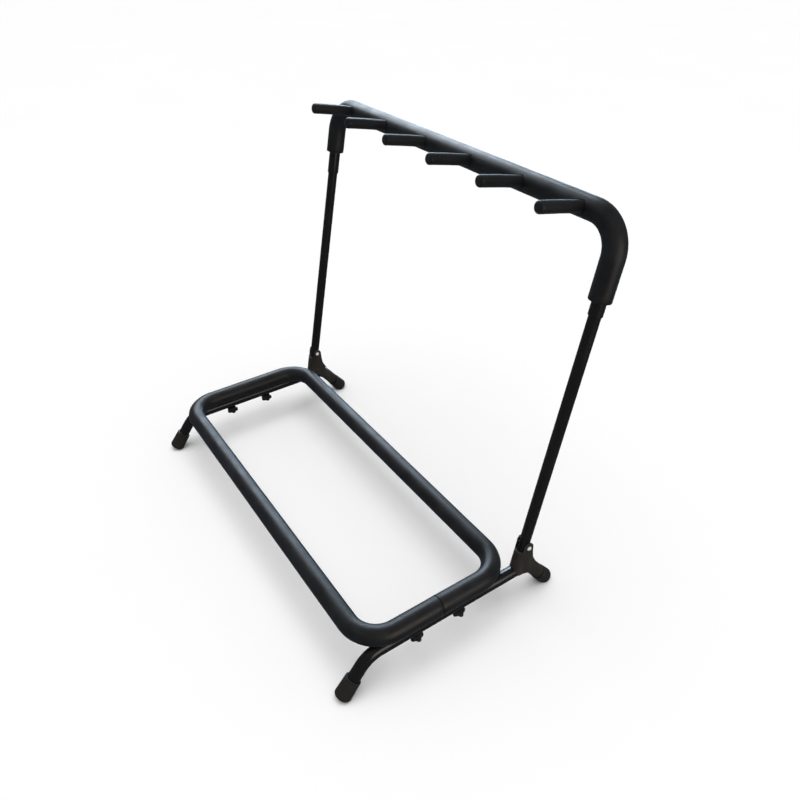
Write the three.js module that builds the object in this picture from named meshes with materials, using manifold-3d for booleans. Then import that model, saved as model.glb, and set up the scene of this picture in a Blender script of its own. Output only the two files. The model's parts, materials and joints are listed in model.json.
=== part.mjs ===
// Folding guitar rack: a foam-covered base loop on two bent side rails, two uprights that lean back
// in pivot housings, and a neck frame with six foam pegs that lifts off the uprights.
//
// Millimetres, +Z up, +Y to the rear, +X to the right. While it is built, y = 0 lies on the pivot
// pins; the finished rack is then moved so that its origin is the middle of its footprint.

import * as THREE from 'three';
import { mergeVertices } from 'three/addons/utils/BufferGeometryUtils.js';
import Module from 'manifold-3d';

const wasm = await Module();
wasm.setup();

// ---------------------------------------------------------------------------------------------
// Driving dimensions
// ---------------------------------------------------------------------------------------------

const GAP = 0.3;                  // clearance left between pieces that touch

const SIDE_X = 375;               // middle of each side rail, upright and neck leg
const FRAME_R = 11;               // 22 mm frame tube: base loop, rails and neck frame
const FRAME_WALL = 1.2;
const FOAM_R = 17.5;              // 35 mm foam sleeve
const FOAM_BORE_R = 11.8;
const UPRIGHT_R = 9.5;            // 19 mm upright tube
const UPRIGHT_WALL = 1.2;
const NECK_R = 11.1;              // neck tube, whose bore slides over the uprights
const NECK_BORE_R = 10;

const LOOP_FRONT_Y = -321.4;      // middle of the loop's front bar
const LOOP_DEPTH = 280;           // between the middles of its front and rear bars
const LOOP_Z = 93.9;
const LOOP_BEND_R = 55;
const LOOP_END_GAP = 0.5;         // the two ends of the bent loop meet on the right

const RAIL_Z = 70;
const RAIL_FRONT_Y = -317.5;      // where the rail's middle line meets the front leg's
const RAIL_REAR_Y = 14.2;
const LEG_ANGLE = 52.5;           // degrees below the rail
const LEG_LENGTH = 75;            // along the leg, from the rail's middle line to the tube's end
const LEG_BEND_R = 45;

const FOOT_RIM_FRONT = 46.6;      // along the leg, from the rail's middle line to the foot's rim
const FOOT_RIM_REAR = 51.7;
const FOOT_RIM_R = 13.9;
const FOOT_END_R = 14.8;
const FOOT_END = 85.6;            // along the leg, from the rail's middle line to the foot's end
const FOOT_BORE_R = 11.5;

const PIVOT_Z = 128.5;
const LEAN = 10.7;                // degrees that the uprights lean back
const BAR_DISTANCE = 564.4;       // pivot to the middle of the neck bar, along the upright
const NECK_LEG = 136;             // neck bar's middle line to the end of each neck leg
const NECK_BEND_R = 52;
const NECK_FOAM_LEFT = 92.7;      // the foam sleeve sits a little to the right on its tube
const NECK_FOAM_RIGHT = 113.1;
const UPRIGHT_TOP = 504.2;        // along the upright, from the pivot
const UPRIGHT_BOTTOM = -40.5;

const PEG_COUNT = 6;
const PEG_PITCH = 123.3;
const PEG_RISE = 11.7;            // degrees that each peg rises to its tip
const PEG_REACH = 97.6;           // neck bar's middle line to a peg's tip
const PEG_R = 9;
const PEG_CORE_R = 4;
const PEG_START = 12.6;
const PEG_HOLE_R = 9.6;

const HOUSING_HALF_WIDTH = 13;
const HOUSING_POCKET_R = 10.1;    // half the slot that takes the upright
const HOUSING_SWEEP_R = 45.6;     // clear circle for the upright's lower end as it folds
const HOUSING_EAR_R = 10;
const HOUSING_RIM_DROP = 10.3;    // pivot down to the front rim, just under the folded upright
const HOUSING_SLEEVE_R = 12.9;
const PIN_R = 3;
const PIN_HOLE_R = 3.5;
const PIN_HEAD_R = 4.7;
const PIN_HEAD_HEIGHT = 2.4;
const LOWER_HOLE_DROP = 43;       // small cross hole below the pivot
const LOWER_HOLE_R = 1.7;

const KNOB_Y = [-225.4, -138.4];    // front and rear clamp knobs on each rail
const KNOB_TOP_Z = 57.2;
const KNOB_HEIGHT = 12;
const KNOB_SKIRT = 7.2;           // height of the lobed grip at the bottom of a knob
const KNOB_LOBES = 5;
const KNOB_LOBE_RING_R = 9.2;
const KNOB_LOBE_R = 3.3;
const KNOB_CORE_R = 9.6;
const KNOB_NECK_R = 7;
const STUD_R = 2.9;
const STUD_TOP_Z = 91;
const STUD_HOLE_R = 3.5;

const SIDES = 16;                 // facets round a tube
const BORE_SIDES = 12;            // facets round bores, pins and hidden tubes
const BEND_STEPS = 5;             // straight steps in a right-angle bend

// ---------------------------------------------------------------------------------------------
// Materials
// ---------------------------------------------------------------------------------------------

const finish = (color, roughness, metalness) => new THREE.MeshStandardMaterial({ color, roughness, metalness });

const FOAM = finish(0x1c1e22, 0.85, 0);
const ENAMEL = finish(0x161516, 0.28, 0.2);
const NYLON = finish(0x2a2824, 0.6, 0);
const RUBBER = finish(0x1d1c1b, 0.8, 0);
const KNOB_PLASTIC = finish(0x0f0f10, 0.45, 0);
const ZINC = finish(0xc9cbcc, 0.32, 1);
const BARE_STEEL = finish(0x8d8f92, 0.4, 1);

// ---------------------------------------------------------------------------------------------
// Geometry helpers
// ---------------------------------------------------------------------------------------------

const rad = THREE.MathUtils.degToRad;
const at = (x, y, z) => new THREE.Vector3(x, y, z);

/** A bent tube's middle line: straight runs joined by arcs, with a station only where it turns. */
class BentLine extends THREE.Curve {
  constructor(corners, bendRadius) {
    super();
    this.stations = [];
    const last = corners.length - 1;
    corners.forEach((corner, i) => {
      if (i === 0 || i === last) {
        const towards = i === 0 ? corners[1].clone().sub(corner) : corner.clone().sub(corners[i - 1]);
        this.stations.push({ point: corner.clone(), tangent: towards.normalize() });
      } else if (bendRadius === 0) {
        const along = corners[i + 1].clone().sub(corners[i - 1]);
        this.stations.push({ point: corner.clone(), tangent: along.normalize() });
      } else {
        this.addBend(corners[i - 1], corner, corners[i + 1], bendRadius);
      }
    });
  }

  addBend(before, corner, after, radius) {
    const into = corner.clone().sub(before).normalize();
    const out = after.clone().sub(corner).normalize();
    const angle = into.angleTo(out);
    const start = corner.clone().addScaledVector(into, -radius * Math.tan(angle / 2));
    const inward = out.clone().addScaledVector(into, -out.dot(into)).normalize();
    const steps = Math.max(3, Math.round(BEND_STEPS * angle / (Math.PI / 2)));
    for (let i = 0; i <= steps; i++) {
      const turn = angle * i / steps;
      const point = start.clone()
        .addScaledVector(into, radius * Math.sin(turn))
        .addScaledVector(inward, radius * (1 - Math.cos(turn)));
      const tangent = into.clone().multiplyScalar(Math.cos(turn)).addScaledVector(inward, Math.sin(turn));
      this.stations.push({ point, tangent });
    }
  }

  get steps() {
    return this.stations.length - 1;
  }

  station(t) {
    return this.stations[Math.round(t * this.steps)];
  }

  getPoint(t) {
    return this.station(t).point.clone();
  }

  getPointAt(t) {
    return this.getPoint(t);
  }

  getTangentAt(t) {
    return this.station(t).tangent.clone();
  }
}

function circlePath(PathClass, radius, sides) {
  const path = new PathClass();
  for (let i = 0; i < sides; i++) {
    const turn = 2 * Math.PI * i / sides;
    const [x, y] = [radius * Math.cos(turn), radius * Math.sin(turn)];
    if (i === 0) path.moveTo(x, y);
    else path.lineTo(x, y);
  }
  path.closePath();
  return path;
}

/** A round bar or tube along a bent line; a bore of 0 makes it solid. */
function tube(corners, bendRadius, radius, bore = 0, sides = SIDES) {
  const line = new BentLine(corners, bendRadius);
  const section = circlePath(THREE.Shape, radius, sides);
  if (bore > 0) section.holes.push(circlePath(THREE.Path, bore, BORE_SIDES));
  return new THREE.ExtrudeGeometry(section, { steps: line.steps, extrudePath: line });
}

/** A straight solid pin between two points. */
function pin(ends, radius) {
  return tube(ends, 0, radius, 0, BORE_SIDES);
}

/** A turned piece about the Z axis, from [radius, height] points that start and end on the axis. */
function turned(profile, sides = SIDES) {
  const points = profile.map(([r, z]) => new THREE.Vector2(r, z));
  return new THREE.LatheGeometry(points, sides).rotateX(Math.PI / 2);
}

function solidOf(geometry) {
  const bare = geometry.clone();
  bare.deleteAttribute('normal');
  bare.deleteAttribute('uv');
  const merged = mergeVertices(bare);
  return new wasm.Manifold(new wasm.Mesh({
    numProp: 3,
    vertProperties: new Float32Array(merged.attributes.position.array),
    triVerts: new Uint32Array(merged.index.array),
  }));
}

function geometryOf(solid) {
  const mesh = solid.getMesh();
  const geometry = new THREE.BufferGeometry();
  geometry.setAttribute('position', new THREE.BufferAttribute(mesh.vertProperties, 3));
  geometry.setIndex(new THREE.BufferAttribute(mesh.triVerts, 1));
  geometry.computeVertexNormals();
  return geometry;
}

/** The geometry with each tool geometry cut out of it. */
function cut(geometry, tools) {
  let solid = solidOf(geometry);
  for (const tool of tools) solid = solid.subtract(solidOf(tool));
  return geometryOf(solid);
}

function addPart(parent, name, geometry, material) {
  const mesh = new THREE.Mesh(geometry, material);
  mesh.name = name;
  parent.add(mesh);
  return mesh;
}

/** A group whose own Z axis runs up the leaning uprights, with its origin on the pivot line. */
function leaningGroup() {
  const group = new THREE.Group();
  group.position.z = PIVOT_Z;
  group.rotation.x = -rad(LEAN);
  return group;
}

const sidesOfRack = [{ side: 'left', x: -SIDE_X }, { side: 'right', x: SIDE_X }];

// ---------------------------------------------------------------------------------------------
// Base loop
// ---------------------------------------------------------------------------------------------

/** The loop's corners, starting and ending at the butt joint in the middle of its right side. */
function loopCorners(endGap) {
  const rear = LOOP_FRONT_Y + LOOP_DEPTH;
  const joint = LOOP_FRONT_Y + LOOP_DEPTH / 2;
  return [
    at(SIDE_X, joint + endGap / 2, LOOP_Z),
    at(SIDE_X, rear, LOOP_Z),
    at(-SIDE_X, rear, LOOP_Z),
    at(-SIDE_X, LOOP_FRONT_Y, LOOP_Z),
    at(SIDE_X, LOOP_FRONT_Y, LOOP_Z),
    at(SIDE_X, joint - endGap / 2, LOOP_Z),
  ];
}

function clampHoles(radius, bottom, top) {
  const holes = [];
  for (const { x } of sidesOfRack) {
    for (const y of KNOB_Y) holes.push(pin([at(x, y, bottom), at(x, y, top)], radius));
  }
  return holes;
}

function loopTube() {
  const bore = FRAME_R - FRAME_WALL;
  const bare = tube(loopCorners(LOOP_END_GAP), LOOP_BEND_R, FRAME_R, bore, BORE_SIDES);
  return cut(bare, clampHoles(4.9, RAIL_Z, LOOP_Z));
}

/** Inner sleeve that joins the two ends of the loop tube. */
function loopSpigot() {
  const joint = LOOP_FRONT_Y + LOOP_DEPTH / 2;
  const radius = FRAME_R - FRAME_WALL - 2 * GAP;
  const halfLength = 30;
  const ends = [at(SIDE_X, joint - halfLength, LOOP_Z), at(SIDE_X, joint + halfLength, LOOP_Z)];
  return tube(ends, 0, radius, radius - 1.5, BORE_SIDES);
}

/** Foam round the loop, pressed in where it lies along the rails and pierced for the clamp studs. */
function loopFoam() {
  const sleeve = tube(loopCorners(LOOP_END_GAP), LOOP_BEND_R, FOAM_R, FOAM_BORE_R);
  const railBeds = sidesOfRack.map(({ x }) => tube(
    [at(x, LOOP_FRONT_Y - FOAM_R - 5, RAIL_Z), at(x, 0, RAIL_Z)], 0, FRAME_R + 2 * GAP));
  return cut(sleeve, [...railBeds, ...clampHoles(7.2, RAIL_Z, LOOP_Z)]);
}

// ---------------------------------------------------------------------------------------------
// Side rails, feet and clamps
// ---------------------------------------------------------------------------------------------

const legDrop = LEG_LENGTH * Math.sin(rad(LEG_ANGLE));
const legRun = LEG_LENGTH * Math.cos(rad(LEG_ANGLE));

function railCorners(x, extra = 0) {
  const stretch = 1 + extra / LEG_LENGTH;
  return [
    at(x, RAIL_FRONT_Y - legRun * stretch, RAIL_Z - legDrop * stretch),
    at(x, RAIL_FRONT_Y, RAIL_Z),
    at(x, RAIL_REAR_Y, RAIL_Z),
    at(x, RAIL_REAR_Y + legRun * stretch, RAIL_Z - legDrop * stretch),
  ];
}

function sideRail(x) {
  const bare = tube(railCorners(x), LEG_BEND_R, FRAME_R, FRAME_R - FRAME_WALL - 0.3);
  const holes = KNOB_Y.map((y) => pin([at(x, y, RAIL_Z - 20), at(x, y, RAIL_Z + 20)], STUD_HOLE_R));
  return cut(bare, holes);
}

/** Rubber foot on one leg, flat where it meets the floor; direction is -1 in front and +1 behind. */
function foot(x, direction) {
  const legY = direction < 0 ? RAIL_FRONT_Y : RAIL_REAR_Y;
  const rim = direction < 0 ? FOOT_RIM_FRONT : FOOT_RIM_REAR;
  const cap = turned([
    [0, LEG_LENGTH + GAP],
    [FOOT_BORE_R, LEG_LENGTH + GAP],
    [FOOT_BORE_R, rim],
    [FOOT_RIM_R - 0.8, rim],
    [FOOT_RIM_R, rim + 1],
    [FOOT_END_R, FOOT_END - 5.5],
    [FOOT_END_R - 1.7, FOOT_END - 1.7],
    [FOOT_END_R - 5.5, FOOT_END],
    [0, FOOT_END],
  ]);
  cap.rotateX(-direction * rad(90 + LEG_ANGLE)).translate(x, legY, RAIL_Z);
  const belowFloor = new THREE.BoxGeometry(80, 80, 40).translate(x, legY + direction * 40, -20);
  return cut(cap, [belowFloor]);
}

/** Lobed hand knob below a rail, with a blind hole for its moulded-in stud. */
function clampKnob(x, y) {
  const bottom = KNOB_TOP_Z - KNOB_HEIGHT;
  const grip = new THREE.Shape();
  const pointsPerLobe = 5;
  for (let i = 0; i < KNOB_LOBES * pointsPerLobe; i++) {
    const turn = 2 * Math.PI * i / (KNOB_LOBES * pointsPerLobe);
    const wave = Math.cos(KNOB_LOBES * turn);
    const radius = KNOB_LOBE_RING_R + KNOB_LOBE_R * (0.5 + 0.5 * wave);
    const [px, py] = [radius * Math.cos(turn), radius * Math.sin(turn)];
    if (i === 0) grip.moveTo(px, py);
    else grip.lineTo(px, py);
  }
  grip.closePath();
  const lobes = new THREE.ExtrudeGeometry(grip, { depth: KNOB_SKIRT, bevelEnabled: false });
  const hub = turned([[0, KNOB_SKIRT - 1], [KNOB_CORE_R - 1, KNOB_SKIRT - 1], [KNOB_NECK_R, KNOB_HEIGHT],
    [0, KNOB_HEIGHT]]);
  const body = solidOf(lobes).add(solidOf(hub));
  const hole = pin([at(0, 0, 3), at(0, 0, KNOB_HEIGHT + 5)], STUD_R + GAP);
  return geometryOf(body.subtract(solidOf(hole))).translate(x, y, bottom);
}

function clampStud(x, y) {
  const bottom = KNOB_TOP_Z - KNOB_HEIGHT + 3 + GAP;
  return pin([at(x, y, bottom), at(x, y, STUD_TOP_Z)], STUD_R);
}

function clampWasher(x, y) {
  const z = KNOB_TOP_Z + GAP;
  return tube([at(x, y, z), at(x, y, z + 1.1)], 0, KNOB_NECK_R, STUD_HOLE_R, BORE_SIDES);
}

/** Threaded rivet nut in the underside of the loop tube. */
function clampInsert(x, y) {
  const flangeZ = LOOP_Z - FRAME_R - 1.3;
  const blank = turned([[0, flangeZ], [6.2, flangeZ], [6.2, flangeZ + 0.9], [4.5, flangeZ + 0.9],
    [4.5, flangeZ + 11], [0, flangeZ + 11]], BORE_SIDES);
  const bore = pin([at(0, 0, RAIL_Z), at(0, 0, LOOP_Z + 5)], STUD_R + GAP + 0.1);
  return cut(blank, [bore]).translate(x, y, 0);
}

// ---------------------------------------------------------------------------------------------
// Pivot housings
// ---------------------------------------------------------------------------------------------

/** Side outline of a housing in the (y, z) plane, with the pivot pin at its origin. */
function housingOutline() {
  const lean = rad(LEAN);
  const leaning = (back, up) => [
    back * Math.cos(lean) + up * Math.sin(lean),
    -back * Math.sin(lean) + up * Math.cos(lean),
  ];
  const outline = new THREE.Shape();
  outline.moveTo(...leaning(-HOUSING_HALF_WIDTH, -64));
  outline.lineTo(...leaning(-HOUSING_HALF_WIDTH, -HOUSING_RIM_DROP - 2.4));
  outline.lineTo(-HOUSING_EAR_R, -HOUSING_RIM_DROP);
  outline.lineTo(-HOUSING_EAR_R, 0);
  outline.absarc(0, 0, HOUSING_EAR_R, Math.PI, 0, true);
  outline.quadraticCurveTo(12, -42, 25, -51);
  outline.lineTo(22, -62);
  outline.lineTo(10, -70);
  outline.lineTo(2, -61);
  outline.closePath();
  return outline;
}

/** Moulded block that grips the rail's rear bend and holds the pivot pin between two ears. */
function pivotHousing() {
  const sideBlock = new THREE.ExtrudeGeometry(housingOutline(), {
    depth: 2 * HOUSING_HALF_WIDTH, bevelEnabled: false, curveSegments: 6 });
  sideBlock.translate(0, 0, -HOUSING_HALF_WIDTH);
  sideBlock.applyMatrix4(new THREE.Matrix4().makeBasis(at(0, 1, 0), at(0, 0, 1), at(1, 0, 0)));

  const body = solidOf(sideBlock)
    .intersect(solidOf(uprightSlot(HOUSING_HALF_WIDTH, 90)))
    .add(solidOf(legSleeve()));
  const rail = tube(railCorners(0, 10), LEG_BEND_R, FRAME_R + 2 * GAP, 0, BORE_SIDES).translate(0, 0, -PIVOT_Z);
  const sweep = tube([at(-20, 0, 0), at(20, 0, 0)], 0, HOUSING_SWEEP_R, 0, 24);
  const pocket = solidOf(uprightSlot(HOUSING_POCKET_R, 90)).intersect(solidOf(sweep));
  const pinHole = pin([at(-30, 0, 0), at(30, 0, 0)], PIN_R + GAP);
  const lowerHole = pin([at(-30, 0, -LOWER_HOLE_DROP), at(30, 0, -LOWER_HOLE_DROP)], LOWER_HOLE_R);
  const earGap = new THREE.BoxGeometry(2 * HOUSING_POCKET_R, 60, 40).translate(0, 0, 20 - HOUSING_RIM_DROP);
  const tools = [solidOf(rail), pocket, solidOf(earGap), solidOf(pinHole), solidOf(lowerHole)];
  return geometryOf(tools.reduce((solid, tool) => solid.subtract(tool), body));
}

/** Prism along the leaning upright: a half round in front and straight, parallel sides behind. */
function uprightSlot(halfWidth, length) {
  const section = new THREE.Shape();
  section.moveTo(halfWidth, 70);
  section.lineTo(-halfWidth, 70);
  section.lineTo(-halfWidth, 0);
  section.absarc(0, 0, halfWidth, Math.PI, 2 * Math.PI, false);
  section.closePath();
  const prism = new THREE.ExtrudeGeometry(section, { depth: 2 * length, bevelEnabled: false, curveSegments: 6 });
  return prism.translate(0, 0, -length).rotateX(-rad(LEAN));
}

/** Round sleeve of the housing over the rail's rear bend and leg, down to the rubber foot. */
function legSleeve() {
  const angle = rad(LEG_ANGLE);
  const bendStart = RAIL_REAR_Y - LEG_BEND_R * Math.tan(angle / 2);
  const firstTurn = rad(14);
  const steps = 4;
  const corners = [];
  for (let i = 0; i <= steps; i++) {
    const turn = firstTurn + (angle - firstTurn) * i / steps;
    const drop = LEG_BEND_R * (1 - Math.cos(turn));
    corners.push(at(0, bendStart + LEG_BEND_R * Math.sin(turn), RAIL_Z - drop - PIVOT_Z));
  }
  const toRim = FOOT_RIM_REAR - 1;
  corners.push(at(0, RAIL_REAR_Y + toRim * Math.cos(angle), RAIL_Z - toRim * Math.sin(angle) - PIVOT_Z));
  return tube(corners, 0, HOUSING_SLEEVE_R);
}

/** Domed rivet through both ears and the upright. */
function hingePin() {
  const inner = HOUSING_HALF_WIDTH + GAP;
  const outer = inner + PIN_HEAD_HEIGHT;
  const half = [[PIN_R, inner], [PIN_HEAD_R, inner], [PIN_HEAD_R - 0.4, inner + 1], [PIN_HEAD_R - 2.2, outer]];
  const profile = [[0, -outer], ...half.map(([r, z]) => [r, -z]).reverse(), ...half, [0, outer]];
  return turned(profile, BORE_SIDES).rotateY(Math.PI / 2);
}

// ---------------------------------------------------------------------------------------------
// Uprights and neck frame, in the leaning frame
// ---------------------------------------------------------------------------------------------

function upright(x) {
  const bare = tube([at(x, 0, UPRIGHT_BOTTOM), at(x, 0, UPRIGHT_TOP)], 0, UPRIGHT_R, UPRIGHT_R - UPRIGHT_WALL);
  return cut(bare, [pin([at(x - 20, 0, 0), at(x + 20, 0, 0)], PIN_HOLE_R)]);
}

/** Plug in one end of an upright; facing is +1 for the top end and -1 for the bottom. */
function uprightPlug(x, end, facing) {
  const shank = UPRIGHT_R - UPRIGHT_WALL - GAP - 0.1;
  const flange = UPRIGHT_R - 0.1;
  const plug = turned([[0, -12], [shank, -12], [shank, GAP], [flange, GAP], [flange, 1.4], [flange - 0.8, 2],
    [0, 2]], BORE_SIDES);
  if (facing < 0) plug.rotateX(Math.PI);
  return plug.translate(x, 0, end);
}

function neckCorners(leftLeg, rightLeg) {
  return [
    at(-SIDE_X, 0, BAR_DISTANCE - leftLeg),
    at(-SIDE_X, 0, BAR_DISTANCE),
    at(SIDE_X, 0, BAR_DISTANCE),
    at(SIDE_X, 0, BAR_DISTANCE - rightLeg),
  ];
}

const STOP_PIN_Z = UPRIGHT_TOP + 4.6;
const STOP_PIN_R = 2;

function stopPin(x) {
  return pin([at(x, -NECK_R + 0.2, STOP_PIN_Z), at(x, NECK_R - 0.2, STOP_PIN_Z)], STOP_PIN_R);
}

function neckTube() {
  const bare = tube(neckCorners(NECK_LEG, NECK_LEG), NECK_BEND_R, NECK_R, NECK_BORE_R);
  const holes = sidesOfRack.map(({ x }) => pin(
    [at(x, -20, STOP_PIN_Z), at(x, 20, STOP_PIN_Z)], STOP_PIN_R + GAP));
  return cut(bare, holes);
}

const pegXs = Array.from({ length: PEG_COUNT }, (_, i) => (i - (PEG_COUNT - 1) / 2) * PEG_PITCH);

/** Places a piece that was made along +Z on the neck bar, pointing the way the pegs point. */
function onPegLine(geometry, x) {
  return geometry.rotateX(rad(90 - (PEG_RISE - LEAN))).translate(x, 0, BAR_DISTANCE);
}

function neckFoam() {
  const sleeve = tube(neckCorners(NECK_FOAM_LEFT, NECK_FOAM_RIGHT), NECK_BEND_R, FOAM_R, FOAM_BORE_R);
  const holes = pegXs.map((x) => onPegLine(tube([at(0, 0, 5), at(0, 0, 30)], 0, PEG_HOLE_R), x));
  return cut(sleeve, holes);
}

function pegCore(x) {
  return onPegLine(pin([at(0, 0, NECK_R + GAP), at(0, 0, PEG_REACH - 8)], PEG_CORE_R), x);
}

/** Foam sleeve of a peg, closed and rounded at its tip. */
function pegSleeve(x) {
  const bore = PEG_CORE_R + GAP;
  const sleeve = turned([
    [0, PEG_REACH - 8 + GAP],
    [bore, PEG_REACH - 8 + GAP],
    [bore, PEG_START],
    [PEG_R - 1.2, PEG_START],
    [PEG_R, PEG_START + 1.2],
    [PEG_R, PEG_REACH - 5],
    [PEG_R - 1.6, PEG_REACH - 1.4],
    [PEG_R - 5, PEG_REACH],
    [0, PEG_REACH],
  ], BORE_SIDES);
  return onPegLine(sleeve, x);
}

// ---------------------------------------------------------------------------------------------
// Assembly
// ---------------------------------------------------------------------------------------------

function addBase(rack) {
  addPart(rack, 'base_loop_tube', loopTube(), ENAMEL);
  addPart(rack, 'base_loop_spigot', loopSpigot(), BARE_STEEL);
  addPart(rack, 'base_loop_foam', loopFoam(), FOAM);
  for (const { side, x } of sidesOfRack) {
    addPart(rack, `side_rail_${side}`, sideRail(x), ENAMEL);
    addPart(rack, `front_foot_${side}`, foot(x, -1), RUBBER);
    addPart(rack, `rear_foot_${side}`, foot(x, 1), RUBBER);
    addPart(rack, `pivot_housing_${side}`, pivotHousing().translate(x, 0, PIVOT_Z), NYLON);
    addPart(rack, `hinge_pin_${side}`, hingePin().translate(x, 0, PIVOT_Z), ZINC);
    KNOB_Y.forEach((y, i) => {
      const place = `${['front', 'rear'][i]}_${side}`;
      addPart(rack, `clamp_knob_${place}`, clampKnob(x, y), KNOB_PLASTIC);
      addPart(rack, `clamp_stud_${place}`, clampStud(x, y), ZINC);
      addPart(rack, `clamp_washer_${place}`, clampWasher(x, y), ZINC);
      addPart(rack, `clamp_insert_${place}`, clampInsert(x, y), ZINC);
    });
  }
}

function addUprights(rack) {
  const group = leaningGroup();
  for (const { side, x } of sidesOfRack) {
    addPart(group, `upright_${side}`, upright(x), ENAMEL);
    addPart(group, `upright_top_plug_${side}`, uprightPlug(x, UPRIGHT_TOP, 1), NYLON);
    addPart(group, `upright_bottom_plug_${side}`, uprightPlug(x, UPRIGHT_BOTTOM, -1), NYLON);
  }
  rack.add(group);
}

function addNeckFrame(rack) {
  const group = leaningGroup();
  addPart(group, 'neck_frame_tube', neckTube(), ENAMEL);
  addPart(group, 'neck_foam', neckFoam(), FOAM);
  for (const { side, x } of sidesOfRack) addPart(group, `neck_stop_pin_${side}`, stopPin(x), ZINC);
  pegXs.forEach((x, i) => {
    addPart(group, `peg_core_${i + 1}`, pegCore(x), BARE_STEEL);
    addPart(group, `peg_sleeve_${i + 1}`, pegSleeve(x), FOAM);
  });
  rack.add(group);
}

const rack = new THREE.Group();
addBase(rack);
addUprights(rack);
addNeckFrame(rack);

// The origin is the middle of the footprint, on the floor.
const extent = new THREE.Box3().setFromObject(rack);
rack.position.y = -(extent.min.y + extent.max.y) / 2;

export default rack;
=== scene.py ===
"""A folding guitar rack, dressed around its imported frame.

The frame gives every place and every moving body. The classes below make what is seen: foam sleeves,
enamelled tube, moulded pivot housings, rubber feet, clamp knobs and plated fittings.
"""

import json
import logging
import math
from dataclasses import dataclass, field
from enum import Enum
from typing import Any, Callable, Iterable, Sequence, Union

import bmesh
import bpy
from mathutils import Matrix, Vector, noise

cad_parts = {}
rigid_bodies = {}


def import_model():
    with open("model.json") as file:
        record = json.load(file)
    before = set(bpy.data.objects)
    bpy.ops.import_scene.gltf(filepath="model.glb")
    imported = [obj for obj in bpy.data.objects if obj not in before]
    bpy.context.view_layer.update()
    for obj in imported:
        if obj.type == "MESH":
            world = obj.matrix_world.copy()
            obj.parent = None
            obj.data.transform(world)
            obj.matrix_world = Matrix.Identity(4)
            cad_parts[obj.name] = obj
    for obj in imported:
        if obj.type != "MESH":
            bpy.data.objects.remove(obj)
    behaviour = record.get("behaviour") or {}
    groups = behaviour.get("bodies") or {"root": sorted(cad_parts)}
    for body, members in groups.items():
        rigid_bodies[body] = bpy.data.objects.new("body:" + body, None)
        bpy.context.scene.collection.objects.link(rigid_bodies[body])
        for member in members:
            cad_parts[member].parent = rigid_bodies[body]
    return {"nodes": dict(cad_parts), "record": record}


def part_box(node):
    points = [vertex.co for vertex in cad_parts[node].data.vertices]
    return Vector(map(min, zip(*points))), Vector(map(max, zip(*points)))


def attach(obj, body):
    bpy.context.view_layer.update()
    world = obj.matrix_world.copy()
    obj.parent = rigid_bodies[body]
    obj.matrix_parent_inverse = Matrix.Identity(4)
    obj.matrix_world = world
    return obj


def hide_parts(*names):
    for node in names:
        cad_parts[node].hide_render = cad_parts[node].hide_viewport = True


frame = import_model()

log = logging.getLogger("guitar_rack")

MM = 0.001
X_AXIS = Vector((1.0, 0.0, 0.0))
Y_AXIS = Vector((0.0, 1.0, 0.0))
Z_AXIS = Vector((0.0, 0.0, 1.0))


# --- Names ---


class Body(str, Enum):
    """The moving bodies that pieces ride on."""

    BASE = "base"
    UPRIGHTS = "uprights"
    NECK = "neck_frame"


class Slot(str, Enum):
    """The record's material slots."""

    FOAM = "foam"
    ENAMEL = "enamel"
    NYLON = "nylon"
    RUBBER = "rubber"
    KNOB = "knob_plastic"
    ZINC = "zinc"
    STEEL = "bare_steel"


class Side(Enum):
    """One side of the rack, as seen from the front."""

    LEFT = "left"
    RIGHT = "right"

    @property
    def sign(self) -> float:
        """-1 on the left and +1 on the right."""
        return -1.0 if self is Side.LEFT else 1.0


class End(Enum):
    """One end of a side rail."""

    FRONT = "front"
    REAR = "rear"

    @property
    def sign(self) -> float:
        """-1 in front and +1 at the rear."""
        return -1.0 if self is End.FRONT else 1.0


# --- Shader building ---


class Wire:
    """A shader value that takes part in Python arithmetic."""

    def __init__(self, bench: "TreeBench", socket: bpy.types.NodeSocket) -> None:
        """Wraps one output socket of a bench's node tree."""
        self.bench = bench
        self.socket = socket

    def _math(self, operation: str, first: "Value", second: "Value") -> "Wire":
        """Adds one Math node.

        Args:
            operation: the Math node's operation.
            first: what feeds its first input.
            second: what feeds its second input.

        Returns:
            The node's result.
        """
        node = self.bench.add("ShaderNodeMath", {"operation": operation}, {0: first, 1: second})
        return node.out()

    def __add__(self, other: "Value") -> "Wire":
        """self + other."""
        return self._math("ADD", self, other)

    __radd__ = __add__

    def __sub__(self, other: "Value") -> "Wire":
        """self - other."""
        return self._math("SUBTRACT", self, other)

    def __rsub__(self, other: "Value") -> "Wire":
        """other - self."""
        return self._math("SUBTRACT", other, self)

    def __mul__(self, other: "Value") -> "Wire":
        """self * other."""
        return self._math("MULTIPLY", self, other)

    __rmul__ = __mul__

    def ramped(self, low: float, high: float, to_low: float = 0.0, to_high: float = 1.0) -> "Wire":
        """Maps a span smoothly onto another.

        Args:
            low: where the ramp starts.
            high: where it ends.
            to_low: the result at low and below.
            to_high: the result at high and above.

        Returns:
            The mapped value.
        """
        settings = {"interpolation_type": "SMOOTHSTEP", "clamp": True}
        node = self.bench.add("ShaderNodeMapRange", settings, {
            "Value": self, "From Min": low, "From Max": high, "To Min": to_low, "To Max": to_high})
        return node.out("Result")


Value = Union[Wire, float, Sequence[float]]


class BenchNode:
    """A node on a bench, whose outputs come out as wires."""

    def __init__(self, bench: "TreeBench", node: bpy.types.Node) -> None:
        """Wraps a node of the bench's tree."""
        self.bench = bench
        self.node = node

    def out(self, name: Union[str, int] = 0) -> Wire:
        """The output of that name or number."""
        return Wire(self.bench, self.node.outputs[name])


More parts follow.
